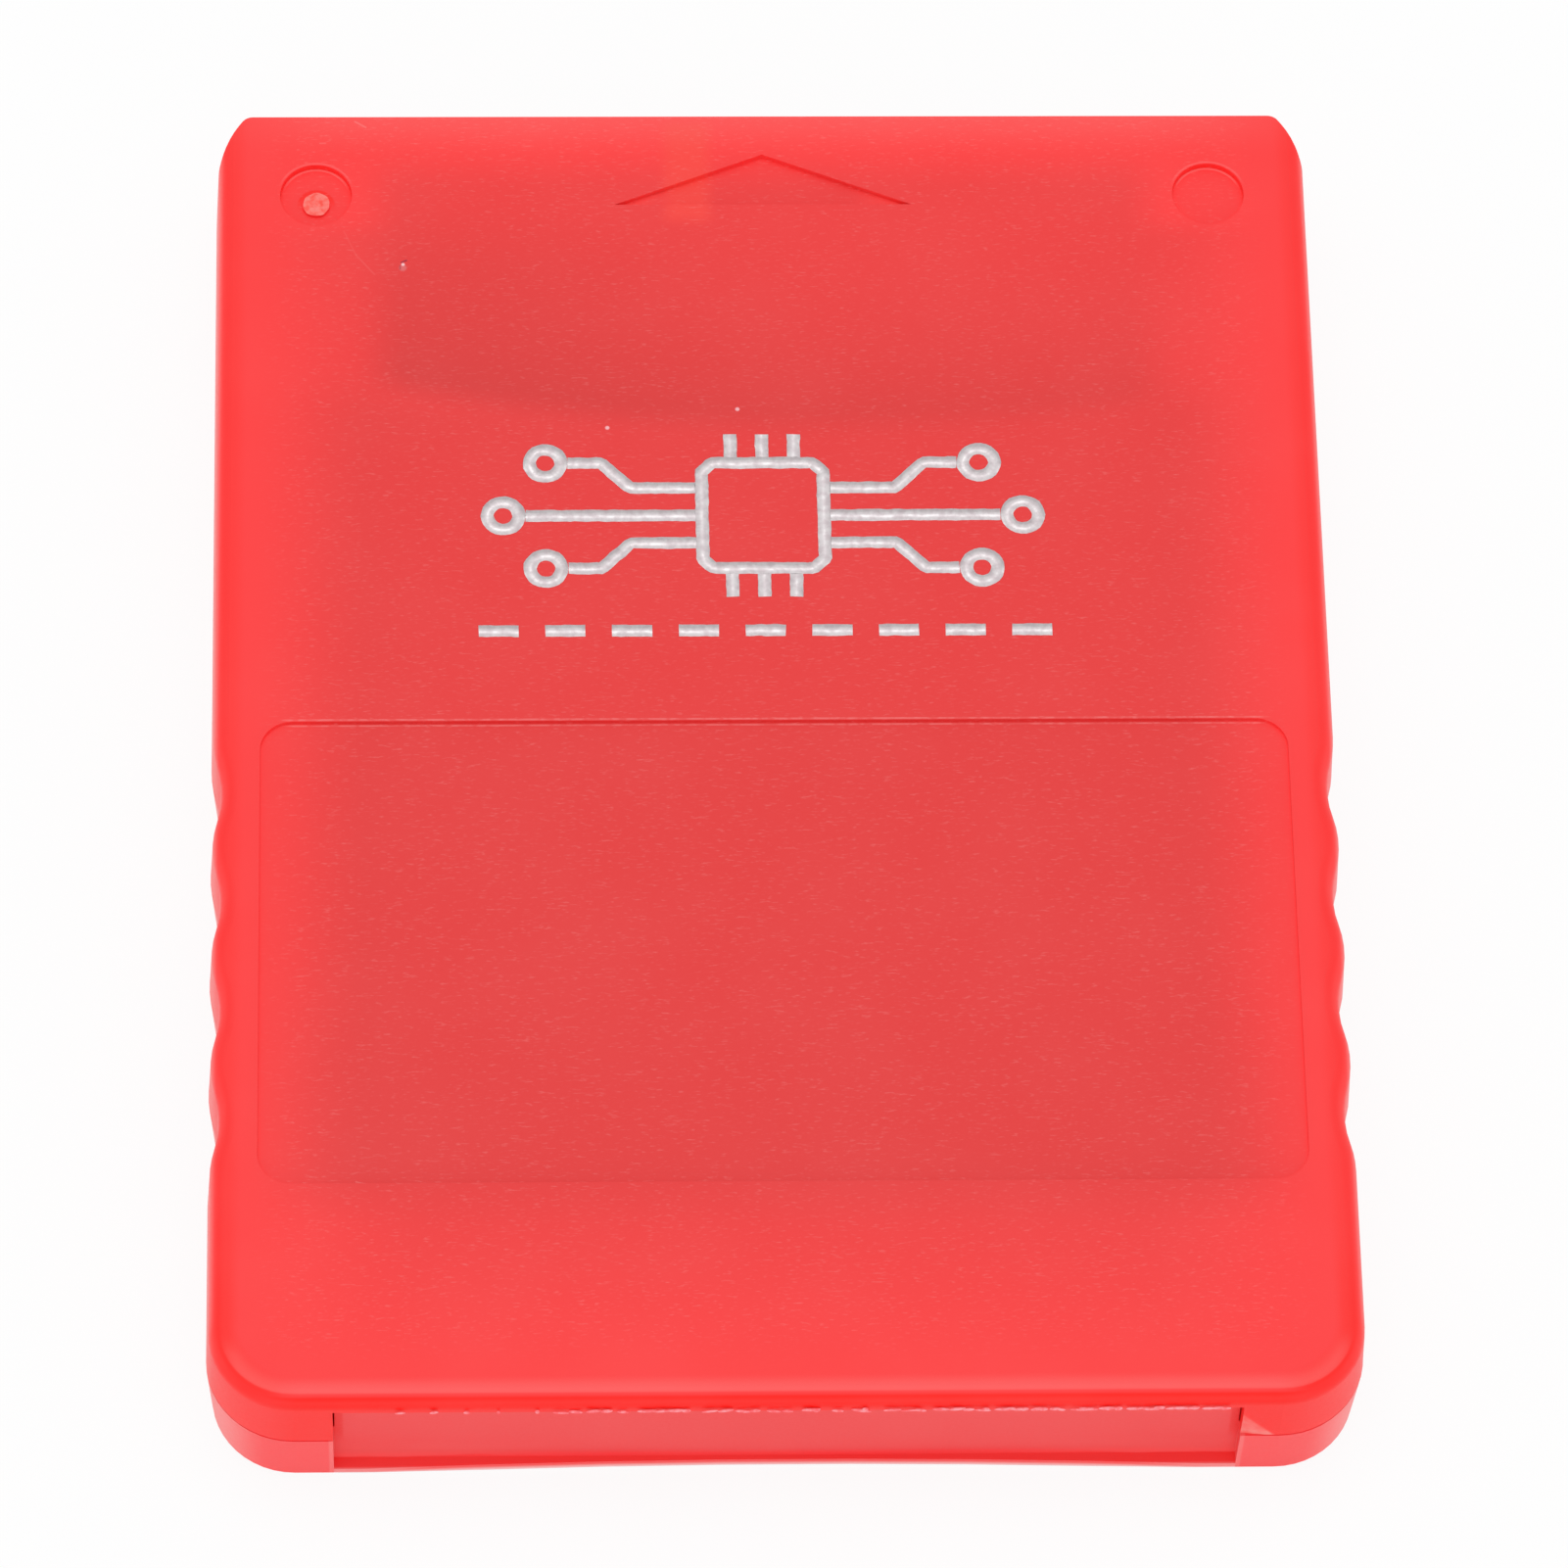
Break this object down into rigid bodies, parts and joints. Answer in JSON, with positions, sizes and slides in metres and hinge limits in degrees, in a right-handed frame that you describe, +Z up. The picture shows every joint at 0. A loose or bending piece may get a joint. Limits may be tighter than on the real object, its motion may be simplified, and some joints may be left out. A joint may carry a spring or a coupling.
{
  "type": "memory card",
  "caption": "Flat plug-in memory card for a game console: two translucent red shells with grip waves, a label recess and an arrow, round a circuit board with plated contacts.",
  "frame": {"origin": "middle of the flat underside", "axes": "+Y towards the contact end that goes into the console, +X across the card, +Z up out of the label side"},
  "size_m": [0.042, 0.055, 0.006],
  "materials": {
    "shell_red": "frosted translucent moulding, fine matt texture",
    "board_green": "green solder mask over glass laminate",
    "contact_gold": "gold flash plating",
    "chip_black": "moulded epoxy",
    "lead_tin": "tinned",
    "can_steel": "plated lid",
    "capacitor_tan": "fired ceramic",
    "resistor_black": "glazed ceramic"
  },
  "bodies": {
    "root": {"upper_shell": "shell_red", "lower_shell": "shell_red", "circuit_board": "board_green", "flash_chip": "chip_black", "controller_chip": "chip_black", "flash_leads": "lead_tin", "controller_leads": "lead_tin", "crystal": "can_steel", "contact_1": "contact_gold", "contact_2": "contact_gold", "contact_3": "contact_gold", "contact_4": "contact_gold", "contact_5": "contact_gold", "contact_6": "contact_gold", "contact_7": "contact_gold", "contact_8": "contact_gold", "capacitor_1": "capacitor_tan", "capacitor_2": "capacitor_tan", "capacitor_3": "capacitor_tan", "capacitor_4": "capacitor_tan", "resistor_1": "resistor_black", "resistor_2": "resistor_black", "resistor_3": "resistor_black", "resistor_4": "resistor_black"}
  },
  "joints": []
}
